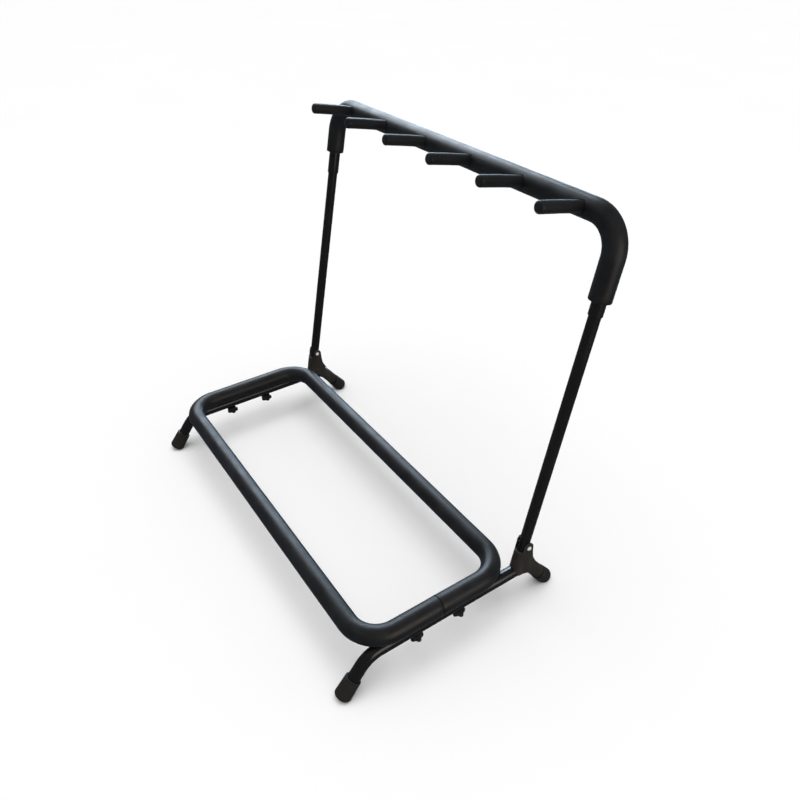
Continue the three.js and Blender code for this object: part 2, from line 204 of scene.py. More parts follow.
class TreeBench:
    """Builds one node tree."""

    def __init__(self, tree: bpy.types.NodeTree) -> None:
        """Empties the tree that it works on."""
        self.tree = tree
        self.tree.nodes.clear()

    def add(self, kind: str, settings: dict[str, Any],
            inputs: dict[Union[str, int], Any]) -> BenchNode:
        """Adds any node.

        Args:
            kind: the node's type.
            settings: its properties, set before its sockets.
            inputs: a value or a wire for each socket named.

        Returns:
            The node.
        """
        node = self.tree.nodes.new(kind)
        for key, value in settings.items():
            setattr(node, key, value)
        for key, value in inputs.items():
            if isinstance(value, Wire):
                self.tree.links.new(value.socket, node.inputs[key])
            else:
                node.inputs[key].default_value = value
        return BenchNode(self, node)


class Bench(TreeBench):
    """Builds one material's node tree."""

    def __init__(self, name: str) -> None:
        """Starts an empty material.

        Args:
            name: the material's name.
        """
        self.material = bpy.data.materials.new(name)
        self.material.use_nodes = True
        super().__init__(self.material.node_tree)
        self.object_coordinates = self.add("ShaderNodeTexCoord", {}, {}).out("Object")

    def stretched(self, scale: Sequence[float]) -> Wire:
        """Object coordinates scaled along each axis."""
        inputs = {"Vector": self.object_coordinates, "Scale": scale}
        return self.add("ShaderNodeMapping", {}, inputs).out()

    def noise(self, scale: float, detail: float = 3.0, roughness: float = 0.5,
              coordinates: Union[Wire, None] = None) -> Wire:
        """Fractal noise.

        Args:
            scale: cells for each metre.
            detail: octaves.
            roughness: how strong the fine octaves are.
            coordinates: where it is read, or None for plain object coordinates.

        Returns:
            The noise, about 0 to 1.
        """
        node = self.add("ShaderNodeTexNoise", {}, {
            "Vector": coordinates or self.object_coordinates, "Scale": scale, "Detail": detail,
            "Roughness": roughness})
        return node.out("Fac")

    def cells(self, scale: float) -> Wire:
        """Distance to the nearest cell centre.

        Args:
            scale: cells for each metre.

        Returns:
            The distance, 0 at each centre.
        """
        node = self.add("ShaderNodeTexVoronoi", {}, {
            "Vector": self.object_coordinates, "Scale": scale, "Randomness": 1.0})
        return node.out("Distance")

    def tint(self, factor: Value, first: Sequence[float], second: Sequence[float]) -> Wire:
        """Mixes two colours.

        Args:
            factor: 0 for the first, 1 for the second.
            first: the first colour.
            second: the second colour.

        Returns:
            The mixed colour.
        """
        inputs = {0: factor, 6: (*first, 1.0), 7: (*second, 1.0)}
        return self.add("ShaderNodeMix", {"data_type": "RGBA"}, inputs).out(2)

    def bump(self, height: Wire, strength: float, distance: float) -> Wire:
        """Turns a height into a normal.

        Args:
            height: the height, about 0 to 1.
            strength: how much of it shows.
            distance: the real height of 1, in metres.

        Returns:
            The bumped normal.
        """
        return self.add("ShaderNodeBump", {}, {
            "Strength": strength, "Distance": distance, "Height": height}).out()

    def surface(self, inputs: dict[str, Any]) -> bpy.types.Material:
        """Closes the tree with a Principled shader.

        Args:
            inputs: a value or a wire for each socket named.

        Returns:
            The finished material.
        """
        shader = self.add("ShaderNodeBsdfPrincipled", {}, inputs)
        self.add("ShaderNodeOutputMaterial", {}, {"Surface": shader.out("BSDF")})
        return self.material


# --- Finishes ---

Colour = tuple[float, float, float]


@dataclass(frozen=True)
class FoamSkin:
    """Closed-cell foam with a matt skin: fine pores, soft blotches and a dusty sheen."""

    dark: Colour = (0.0040, 0.0040, 0.0042)
    light: Colour = (0.0098, 0.0104, 0.0120)
    pores_per_metre: float = 1300.0
    pore_depth: float = 0.00012
    roughness: float = 0.40
    sheen: float = 0.035

    def material(self) -> bpy.types.Material:
        """Builds the material.

        Returns:
            The material.
        """
        bench = Bench("foam_skin")
        blotches = bench.noise(26.0, 4.0, 0.55)
        fine = bench.noise(420.0, 4.0, 0.6)
        pores = bench.cells(self.pores_per_metre).ramped(0.0, 0.5)
        shade = (blotches * 0.6 + fine * 0.4).ramped(0.3, 0.7)
        colour = bench.tint(shade, self.dark, self.light)
        height = pores * 0.55 + fine * 0.45
        return bench.surface({
            "Base Color": colour,
            "Roughness": blotches.ramped(0.3, 0.7, self.roughness - 0.05, self.roughness + 0.07),
            "Specular IOR Level": 0.42,
            "Sheen Weight": self.sheen,
            "Sheen Roughness": 0.45,
            "Sheen Tint": (0.62, 0.74, 1.0, 1.0),
            "Normal": bench.bump(height, 0.55, self.pore_depth),
        })


@dataclass(frozen=True)
class Enamel:
    """Gloss black stove enamel on tube: slight orange peel, smears and a few fine rubs."""

    black: Colour = (0.0055, 0.0050, 0.0052)
    rubbed: Colour = (0.020, 0.019, 0.018)
    roughness: float = 0.2

    def material(self) -> bpy.types.Material:
        """Builds the material.

        Returns:
            The material.
        """
        bench = Bench("enamel")
        peel = bench.noise(330.0, 2.0, 0.4)
        smears = bench.noise(14.0, 4.0, 0.6)
        rubs = bench.noise(90.0, 5.0, 0.7, bench.stretched((1.0, 1.0, 0.12))).ramped(0.62, 0.74)
        colour = bench.tint(rubs * 0.5, self.black, self.rubbed)
        return bench.surface({
            "Base Color": colour,
            "Roughness": smears.ramped(0.35, 0.7, self.roughness - 0.04, self.roughness + 0.1) + rubs * 0.12,
            "Specular IOR Level": 0.5,
            "Coat Weight": 0.35,
            "Coat Roughness": 0.12,
            "Normal": bench.bump(peel, 0.25, 0.00006),
        })


@dataclass(frozen=True)
class MouldedNylon:
    """Textured grey-black moulded nylon with faint flow marks."""

    dark: Colour = (0.0160, 0.0135, 0.0100)
    light: Colour = (0.0290, 0.0250, 0.0190)
    roughness: float = 0.5

    def material(self) -> bpy.types.Material:
        """Builds the material.

        Returns:
            The material.
        """
        bench = Bench("moulded_nylon")
        grain = bench.cells(2100.0).ramped(0.0, 0.6)
        flow = bench.noise(60.0, 4.0, 0.6, bench.stretched((1.0, 1.0, 0.35)))
        colour = bench.tint(flow.ramped(0.3, 0.7), self.dark, self.light)
        return bench.surface({
            "Base Color": colour,
            "Roughness": flow.ramped(0.3, 0.7, self.roughness - 0.05, self.roughness + 0.08),
            "Normal": bench.bump(grain, 0.45, 0.00007),
        })


@dataclass(frozen=True)
class Rubber:
    """Black rubber, a little dusty and scuffed towards the floor."""

    black: Colour = (0.0135, 0.0115, 0.0092)
    dusty: Colour = (0.038, 0.034, 0.029)
    dust_height: float = 0.02
    roughness: float = 0.5

    def material(self) -> bpy.types.Material:
        """Builds the material.

        Returns:
            The material.
        """
        bench = Bench("rubber")
        height = bench.add("ShaderNodeSeparateXYZ", {}, {0: bench.object_coordinates}).out("Z")
        scuffs = bench.noise(210.0, 5.0, 0.65)
        low = height.ramped(0.0, self.dust_height, 1.0, 0.0)
        dust = (low * scuffs.ramped(0.45, 0.7)) * 0.7 + scuffs.ramped(0.6, 0.8) * 0.12
        colour = bench.tint(dust, self.black, self.dusty)
        return bench.surface({
            "Base Color": colour,
            "Roughness": dust.ramped(0.0, 1.0, self.roughness, 0.85),
            "Normal": bench.bump(scuffs, 0.3, 0.00008),
        })


@dataclass(frozen=True)
class KnobPlastic:
    """Satin black plastic, polished a little where fingers hold it."""

    black: Colour = (0.006, 0.006, 0.0062)
    worn: Colour = (0.020, 0.020, 0.021)
    roughness: float = 0.36

    def material(self) -> bpy.types.Material:
        """Builds the material.

        Returns:
            The material.
        """
        bench = Bench("knob_plastic")
        grain = bench.noise(900.0, 3.0, 0.5)
        handled = bench.noise(120.0, 3.0, 0.5)
        colour = bench.tint(handled.ramped(0.4, 0.75), self.black, self.worn)
        return bench.surface({
            "Base Color": colour,
            "Roughness": handled.ramped(0.35, 0.7, self.roughness - 0.08, self.roughness + 0.1),
            "Normal": bench.bump(grain, 0.3, 0.00005),
        })


@dataclass(frozen=True)
class Plated:
    """Plated or bare metal with a soft grain."""

    name: str
    bright: Colour
    dull: Colour
    roughness: float
    metallic: float = 1.0
    grain_per_metre: float = 700.0

    def material(self) -> bpy.types.Material:
        """Builds the material.

        Returns:
            The material.
        """
        bench = Bench(self.name)
        patches = bench.noise(260.0, 4.0, 0.6)
        grain = bench.noise(self.grain_per_metre, 3.0, 0.6)
        colour = bench.tint(patches.ramped(0.35, 0.7), self.bright, self.dull)
        return bench.surface({
            "Base Color": colour,
            "Metallic": self.metallic,
            "Roughness": grain.ramped(0.3, 0.7, self.roughness - 0.06, self.roughness + 0.1),
            "Normal": bench.bump(grain, 0.2, 0.00004),
        })


FINISHES: dict[Slot, bpy.types.Material] = {
    Slot.FOAM: FoamSkin().material(),
    Slot.ENAMEL: Enamel().material(),
    Slot.NYLON: MouldedNylon().material(),
    Slot.RUBBER: Rubber().material(),
    Slot.KNOB: KnobPlastic().material(),
    Slot.ZINC: Plated("zinc_plate", (0.92, 0.92, 0.93), (0.72, 0.73, 0.74), 0.3, 0.35).material(),
    Slot.STEEL: Plated("drawn_steel", (0.36, 0.36, 0.37), (0.18, 0.175, 0.17), 0.42).material(),
}


FASTENER = Plated("passivated_zinc", (0.16, 0.16, 0.15), (0.07, 0.068, 0.062), 0.38).material()


def dress(nodes: Iterable[str], finish: bpy.types.Material) -> None:
    """Gives carried-over frame nodes a finish.

    Args:
        nodes: names of the nodes.
        finish: the material that they take.
    """
    for name in nodes:
        mesh = frame["nodes"][name].data
        mesh.materials.clear()
        mesh.materials.append(finish)
        log.info("dressed %s as %s", name, finish.name)


# --- Pieces ---


@dataclass(frozen=True)
class Tag:
    """What a finished piece says about itself."""

    name: str
    body: str
    slot: Slot
    replaces: tuple[str, ...]
    padded: bool = False


def mesh_from(bm: bmesh.types.BMesh, name: str, sharp_degrees: float = 38.0,
              tidy: bool = True) -> bpy.types.Mesh:
    """Turns a bmesh into a mesh with smooth faces and sharp creases.

    Args:
        bm: the shape, which is freed.
        name: the mesh's name.
        sharp_degrees: edges that turn by more than this stay sharp.
        tidy: merges doubles and turns the faces outwards.

    Returns:
        The mesh.
    """
    if tidy:
        bmesh.ops.remove_doubles(bm, verts=bm.verts, dist=1e-6)
        bmesh.ops.recalc_face_normals(bm, faces=bm.faces)
    limit = math.radians(sharp_degrees)
    for face in bm.faces:
        face.smooth = True
    for edge in bm.edges:
        edge.smooth = len(edge.link_faces) == 2 and edge.calc_face_angle(0.0) < limit
    mesh = bpy.data.meshes.new(name)
    bm.to_mesh(mesh)
    bm.free()
    return mesh


def publish(mesh: bpy.types.Mesh, tag: Tag) -> bpy.types.Object:
    """Links a finished mesh into the scene as a piece of the object.

    Args:
        mesh: the mesh, with its place in its vertices.
        tag: its name, body, slot and the nodes it stands for.

    Returns:
        The object.
    """
    mesh.name = tag.name
    mesh.materials.clear()
    mesh.materials.append(FINISHES[tag.slot])
    piece = bpy.data.objects.new(tag.name, mesh)
    bpy.context.scene.collection.objects.link(piece)
    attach(piece, tag.body)
    if tag.replaces:
        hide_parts(*tag.replaces)
    log.info("made %s with %d faces", tag.name, len(mesh.polygons))
    return piece


class Run:
    """A round section grown along a middle line by extruding and spinning one ring of edges.

    It can go out along the outside of a sleeve and come back along its bore.
    """

    def __init__(self, start: Vector, heading: Vector, radius: float, sides: int, closed: bool = True,
                 bm: Union[bmesh.types.BMesh, None] = None) -> None:
        """Starts from a circle.

        Args:
            start: the middle of the first ring.
            heading: the direction of growth.
            radius: the first ring's radius.
            sides: vertices round the ring.
            closed: fills the first ring.
            bm: a bmesh to add to, or None for a new one.
        """
        self.bm = bm or bmesh.new()
        self.centre = start.copy()
        self.heading = heading.normalized()
        self.radius = radius
        self.trail: list[tuple[str, Any]] = []
        turn = Z_AXIS.rotation_difference(self.heading).to_matrix().to_4x4()
        place = Matrix.Translation(start) @ turn
        ring = bmesh.ops.create_circle(self.bm, cap_ends=closed, radius=radius, segments=sides,
                                       matrix=place)
        self.verts = list(ring["verts"])
        members = set(self.verts)
        self.edges = [edge for edge in self.bm.edges
                      if edge.verts[0] in members and edge.verts[1] in members]
        self.first_edges = list(self.edges)

    def _take(self, geometry: Iterable[Any]) -> None:
        """Makes the newly grown ring the current one.

        Args:
            geometry: what an operator says it made.
        """
        items = list(geometry)
        self.verts = [item for item in items if isinstance(item, bmesh.types.BMVert)]
        members = set(self.verts)
        self.edges = [item for item in items if isinstance(item, bmesh.types.BMEdge)
                      and item.verts[0] in members and item.verts[1] in members]

    def grow(self, advance: float, radius: Union[float, None] = None) -> "Run":
        """Extrudes the ring once.

        Args:
            advance: how far along the heading, and negative to come back.
            radius: the new ring's radius, or None to keep it.

        Returns:
            This run.
        """
        grown = bmesh.ops.extrude_edge_only(self.bm, edges=self.edges)
        self._take(grown["geom"])
        step = self.heading * advance
        bmesh.ops.translate(self.bm, verts=self.verts, vec=step)
        self.centre += step
        if radius is not None and radius != self.radius:
            factor = radius / self.radius
            bmesh.ops.scale(self.bm, verts=self.verts, vec=(factor, factor, factor),
                            space=Matrix.Translation(-self.centre))
            self.radius = radius
        return self

    def profile(self, steps: Iterable[tuple[float, float]]) -> "Run":
        """Grows through a list of steps.

        Args:
            steps: how far along the heading and the new radius, for each ring.

        Returns:
            This run.
        """
        for advance, radius in steps:
            self.grow(advance, radius)
        return self

    def straight(self, length: float, steps: int = 1) -> "Run":
        """Grows a straight stretch in equal steps.

        Args:
            length: how far it goes.
            steps: how many rings it adds.

        Returns:
            This run.
        """
        for _ in range(steps):
            self.grow(length / steps)
        self.trail.append(("straight", (length, steps)))
        return self

    def bend(self, angle: float, radius: float, towards: Vector, steps: int) -> "Run":
        """Spins the ring round a bend.

        Args:
            angle: how far it turns, in radians.
            radius: of the middle line.
            towards: from the middle line to the bend's centre.
            steps: stations round the bend.

        Returns:
            This run.
        """
        pivot = self.centre + towards * radius
        axis = self.heading.cross(towards).normalized()
        self._spin(pivot, axis, angle, steps)
        self.trail.append(("bend", (pivot, axis, angle, steps)))
        return self

    def _spin(self, pivot: Vector, axis: Vector, angle: float, steps: int) -> None:
        """Spins the ring and carries the middle and heading with it.

        Args:
            pivot: a point on the axis.
            axis: what it turns about.
            angle: how far it turns, in radians.
            steps: how many rings it adds.
        """
        spun = bmesh.ops.spin(self.bm, geom=self.verts + self.edges, cent=pivot, axis=axis,
                              dvec=(0, 0, 0), angle=angle, steps=steps, use_merge=False,
                              use_duplicate=False)
        self._take(spun["geom_last"])
        turn = Matrix.Rotation(angle, 3, axis)
        self.centre = pivot + turn @ (self.centre - pivot)
        self.heading = turn @ self.heading

    def retrace(self) -> "Run":
        """Grows back along everything it has followed, as the bore of a sleeve does.

        Returns:
            This run.
        """
        self.heading = -self.heading
        for kind, facts in reversed(self.trail):
            if kind == "straight":
                length, steps = facts
                for _ in range(steps):
                    self.grow(length / steps)
            else:
                pivot, axis, angle, steps = facts
                self._spin(pivot, axis, -angle, steps)
        return self

    def join_ends(self) -> "Run":
        """Bridges the last ring to the first."""
        bmesh.ops.bridge_loops(self.bm, edges=self.edges + self.first_edges)
        return self

    def cap(self) -> "Run":
        """Fills the last ring."""
        bmesh.ops.edgeloop_fill(self.bm, edges=self.edges)
        return self


def round_over(run: Run, fillet: float, radius: float, steps: int) -> None:
    """Grows a quarter round that ends a bar or a foot.

    Args:
        run: what it ends.
        fillet: the quarter round's radius.
        radius: the radius where it starts.
        steps: how many rings it adds.
    """
    for i in range(1, steps + 1):
        turn, before = math.pi / 2 * i / steps, math.pi / 2 * (i - 1) / steps
        run.grow(fillet * (math.sin(turn) - math.sin(before)), radius - fillet * (1 - math.cos(turn)))


def pin_solid(start: Vector, heading: Vector, length: float, radius: float, sides: int) -> Run:
    """A closed round bar.

    Args:
        start: the middle of its first face.
        heading: its direction.
        length: its length.
        radius: its radius.
        sides: vertices round it.

    Returns:
        The finished run.
    """
    return Run(start, heading, radius, sides).grow(length).cap()


def carve(base: bpy.types.Mesh, steps: Iterable[tuple[str, bpy.types.Mesh]]) -> bmesh.types.BMesh:
    """Joins and cuts closed solids one after another.

    Args:
        base: the solid to start from.
        steps: the Boolean operation and the other solid, in order.

    Returns:
        The result.
    """
    scene = bpy.context.scene.collection.objects
    worked = bpy.data.objects.new("carving", base)
    scene.link(worked)
    tools = []
    for operation, mesh in steps:
        tool = bpy.data.objects.new("tool", mesh)
        scene.link(tool)
        tools.append(tool)
        modifier = worked.modifiers.new("carve", "BOOLEAN")
        modifier.operation = operation
        modifier.solver = "EXACT"
        modifier.object = tool
    bpy.context.view_layer.update()
    result = bmesh.new()
    result.from_object(worked, bpy.context.evaluated_depsgraph_get())
    for used in [worked, *tools]:
        mesh = used.data
        bpy.data.objects.remove(used)
        bpy.data.meshes.remove(mesh)
    return result


def ease_edges(bm: bmesh.types.BMesh, offset: float, segments: int, over_degrees: float) -> None:
    """Rounds the creases of a solid.

    Args:
        bm: the solid.
        offset: how far back the rounding starts.
        segments: steps round it.
        over_degrees: only edges that turn by more than this.
    """
    limit = math.radians(over_degrees)
    chosen = [edge for edge in bm.edges
              if len(edge.link_faces) == 2 and edge.calc_face_angle(0.0) > limit]
    bmesh.ops.bevel(bm, geom=chosen, offset=offset, offset_type="OFFSET", segments=segments,
                    profile=0.5, affect="EDGES", clamp_overlap=True, material=-1)


# --- Layout, read from the frame ---


CLAMP_Y: dict[End, float] = {End.FRONT: -225.4 * MM, End.REAR: -138.4 * MM}
FOOT_RIM: dict[End, float] = {End.FRONT: 46.6 * MM, End.REAR: 51.7 * MM}


@dataclass(frozen=True)
class Layout:
    """Places that several pieces share."""

    pivot: Vector
    lean: float
    side_x: float
    rail_z: float = 70 * MM
    loop_z: float = 93.9 * MM

    @staticmethod
    def from_frame() -> "Layout":
        """Reads the pivot line, the lean and the side planes from the frame.

        Returns:
            The layout.
        """
        joints = {joint["name"]: joint for joint in frame["record"]["behaviour"]["joints"]}
        pivot = Vector(joints["fold"]["pos_m"])
        axis = joints["neck_frame_lift"]["axis"]
        low, high = (Vector(corner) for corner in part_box("hinge_pin_right"))
        return Layout(pivot, math.atan2(axis[1], axis[2]), (low.x + high.x) / 2)

    @property
    def up(self) -> Vector:
        """The direction up the leaning uprights."""
        return Vector((0.0, math.sin(self.lean), math.cos(self.lean)))

    @property
    def back(self) -> Vector:
        """Square to the uprights, towards the rear."""
        return Vector((0.0, math.cos(self.lean), -math.sin(self.lean)))

    def on_side(self, side: Side, y: float, z: float) -> Vector:
        """A point in a side plane, with y counted from the pivot line."""
        return Vector((side.sign * self.side_x, self.pivot.y + y, z))

    def up_side(self, x: float, along: float) -> Vector:
        """A point in the leaning plane, at a distance up the uprights from the pivot line."""
        return Vector((x, self.pivot.y, self.pivot.z)) + self.up * along


# --- Foam ---


def uneven(bm: bmesh.types.BMesh, amount: float, cell: float, seed: float) -> None:
    """Gives a foam skin its slight hand-fitted unevenness.

    Args:
        bm: the sleeve.
        amount: the largest move along the normal.
        cell: the size of the lumps.
        seed: shifts the pattern from piece to piece.
    """
    bm.normal_update()
    offset = Vector((seed, seed * 2.0, seed * 3.0))
    moves = [(vert, vert.normal * (amount * noise.noise(vert.co / cell + offset))) for vert in bm.verts]
    for vert, move in moves:
        vert.co += move


@dataclass(frozen=True)
class FoamSize:
    """Section of the foam sleeves."""

    radius: float = 17.5 * MM
    bore: float = 11.6 * MM
    end_fillet: float = 0.6 * MM
    sides: int = 40
    step: float = 9 * MM


def foam_sleeve(size: FoamSize, start: Vector, heading: Vector,
                follow: Callable[[Run], None]) -> Run:
    """A hollow foam sleeve with softly cut ends, grown out along its skin and back along its bore.

    Args:
        size: its section.
        start: the middle of its first end.
        heading: its direction there.
        follow: grows the run along the route.

    Returns:
        The finished run.
    """
    fillet, outer = size.end_fillet, size.radius
    run = Run(start, heading, size.bore, size.sides, closed=False)
    run.profile([(0.0, outer - fillet), (0.3 * fillet, outer - 0.3 * fillet), (0.7 * fillet, outer)])
    follow(run)
    run.profile([(0.7 * fillet, outer - 0.3 * fillet), (0.3 * fillet, outer - fillet), (0.0, size.bore)])
    run.heading = -run.heading
    run.grow(fillet)
    run.heading = -run.heading
    return run.retrace().join_ends()


@dataclass
class BaseLoop:
    """The foam-covered loop that the guitars stand in."""

    layout: Layout
    foam: FoamSize = field(default_factory=FoamSize)
    front_y: float = -321.4 * MM
    depth: float = 280 * MM
    bend_radius: float = 55 * MM
    seam_gap: float = 1.0 * MM
    rail_radius: float = 11.35 * MM
    bulge_reach: float = 5 * MM
    bulge_from: float = 6 * MM
    bulge: float = 0.5 * MM

    def _follow(self, run: Run) -> None:
        """Grows once round the loop, from the seam on the right side back to it.

        Args:
            run: the sleeve's skin, already started.
        """
        half_side = self.depth / 2 - self.bend_radius - self.seam_gap / 2 - self.foam.end_fillet
        bar = 2 * (self.layout.side_x - self.bend_radius)
        inward = [-X_AXIS, -Y_AXIS, X_AXIS, Y_AXIS]
        lengths = [half_side, bar, self.depth - 2 * self.bend_radius, bar]
        for length, towards in zip(lengths, inward):
            run.straight(length, round(length / self.foam.step))
            run.bend(math.pi / 2, self.bend_radius, towards, 14)
        run.straight(half_side, round(half_side / self.foam.step))

    def _press_on_rails(self, bm: bmesh.types.BMesh) -> None:
        """Presses the foam in where it lies along the rails, and bulges it a little beside them.

        Args:
            bm: the foam.
        """
        for vert in bm.verts:
            side_x = math.copysign(self.layout.side_x, vert.co.x)
            across = vert.co.x - side_x
            above = vert.co.z - self.layout.rail_z
            reach = math.hypot(across, above)
            if above > 0 and reach < self.rail_radius:
                vert.co.x = side_x + across / reach * self.rail_radius
                vert.co.z = self.layout.rail_z + above / reach * self.rail_radius
            elif (above > 0 and reach < self.rail_radius + self.bulge_reach
                  and abs(across) > self.bulge_from):
                near = 1 - (reach - self.rail_radius) / self.bulge_reach
                vert.co.x += math.copysign(self.bulge * near, across)

    def build(self) -> None:
        """Makes the foam and dresses the hidden tube and its joint."""
        joint = self.front_y + self.depth / 2
        start = self.layout.on_side(Side.RIGHT, joint + self.seam_gap / 2, self.layout.loop_z)
        run = foam_sleeve(self.foam, start, Y_AXIS, self._follow)
        uneven(run.bm, 0.22 * MM, 45 * MM, 3.1)
        self._press_on_rails(run.bm)
        name = "base_loop_foam_skin"
        publish(mesh_from(run.bm, name),
                Tag(name, Body.BASE.value, Slot.FOAM, ("base_loop_foam",), padded=True))
        dress(["base_loop_tube"], FINISHES[Slot.ENAMEL])
        dress(["base_loop_spigot"], FINISHES[Slot.STEEL])


# --- Side rails and feet ---


@dataclass(frozen=True)
class LegLine:
    """The middle line of a side rail and its two legs."""

    layout: Layout
    front_y: float = -317.5 * MM
    rear_y: float = 14.2 * MM
    angle: float = math.radians(52.5)
    bend_radius: float = 45 * MM
    leg: float = 75 * MM

    def corner(self, side: Side, end: End) -> Vector:
        """Where the rail's middle line meets the leg's."""
        y = self.front_y if end is End.FRONT else self.rear_y
        return self.layout.on_side(side, y, self.layout.rail_z)

    def down(self, end: End) -> Vector:
        """The direction down a leg."""
        return Vector((0.0, end.sign * math.cos(self.angle), -math.sin(self.angle)))

    def on_leg(self, side: Side, end: End, along: float) -> Vector:
        """A point on a leg's middle line, at a distance from the corner."""
        return self.corner(side, end) + self.down(end) * along

    @property
    def setback(self) -> float:
        """From a corner to where its bend starts."""
        return self.bend_radius * math.tan(self.angle / 2)


@dataclass
class SideRail:
    """A bent tube that carries the loop, with the two legs at its ends."""

    line: LegLine
    side: Side
    radius: float = 11 * MM
    sides: int = 36
    hole_radius: float = 3.5 * MM
    chamfer: float = 0.8 * MM

    def build(self) -> None:
        """Grows the tube from foot to foot and drills it for the clamp studs."""
        line = self.line
        start = line.on_leg(self.side, End.FRONT, line.leg)
        eased = self.radius - self.chamfer
        run = Run(start, -line.down(End.FRONT), eased, self.sides)
        run.grow(self.chamfer, self.radius)
        run.straight(line.leg - line.setback - self.chamfer, 3)
        run.bend(line.angle, line.bend_radius, run.heading.cross(X_AXIS), 12)
        run.straight(line.rear_y - line.front_y - 2 * line.setback, 12)
        run.bend(line.angle, line.bend_radius, -Z_AXIS, 12)
        run.straight(line.leg - line.setback - self.chamfer, 3)
        run.grow(self.chamfer, eased)
        run.cap()
        holes = []
        for y in CLAMP_Y.values():
            bottom = line.layout.on_side(self.side, y, line.layout.rail_z - 20 * MM)
            drill = pin_solid(bottom, Z_AXIS, 40 * MM, self.hole_radius, 24)
            holes.append(("DIFFERENCE", mesh_from(drill.bm, "drill")))
        drilled = carve(mesh_from(run.bm, "rail"), holes)
        name = f"side_rail_{self.side.value}"
        publish(mesh_from(drilled, name), Tag(f"{name}_tube", Body.BASE.value, Slot.ENAMEL, (name,)))


@dataclass
class Foot:
    """A rubber foot on a leg, flat on the floor."""

    line: LegLine
    side: Side
    end: End
    rim_radius: float = 13.9 * MM
    end_radius: float = 14.8 * MM
    bore: float = 11.4 * MM
    tip: float = 85.6 * MM
    play: float = 0.3 * MM
    flare: float = 0.12 * MM
    nose: float = 6 * MM
    steps: int = 8

    def build(self) -> None:
        """Turns the foot from its bore outwards, then flattens it on the floor."""
        bottom = self.line.leg + self.play
        start = self.line.on_leg(self.side, self.end, bottom)
        run = Run(start, self.line.down(self.end), self.bore, 48)
        run.grow(-(bottom - FOOT_RIM[self.end]))
        rim, low, high = self.rim_radius, self.rim_radius - 0.3 * MM, self.rim_radius + self.flare
        run.profile([
            (0.0, rim - 0.9 * MM), (0.15 * MM, rim - 0.45 * MM), (0.5 * MM, rim),
            (2.6 * MM, rim + 0.05 * MM), (0.5 * MM, low), (0.6 * MM, low), (0.5 * MM, high),
        ])
        collar = 4.85 * MM
        barrel = self.tip - FOOT_RIM[self.end] - collar - self.nose
        for i in range(1, self.steps + 1):
            swell = (i / self.steps) ** 1.3
            run.grow(barrel / self.steps, high + (self.end_radius - self.rim_radius) * swell)
        round_over(run, self.nose, self.end_radius + self.flare, self.steps)
        run.cap()
        bm = run.bm
        cut = bmesh.ops.bisect_plane(bm, geom=[*bm.verts, *bm.edges, *bm.faces],
                                     plane_co=(0, 0, 0), plane_no=(0, 0, -1), clear_outer=True)
        rim = [item for item in cut["geom_cut"] if isinstance(item, bmesh.types.BMEdge)]
        bmesh.ops.edgeloop_fill(bm, edges=rim)
        name = f"{self.end.value}_foot_{self.side.value}"
        publish(mesh_from(bm, name), Tag(f"{name}_rubber", Body.BASE.value, Slot.RUBBER, (name,)))


# --- Pivot housings ---


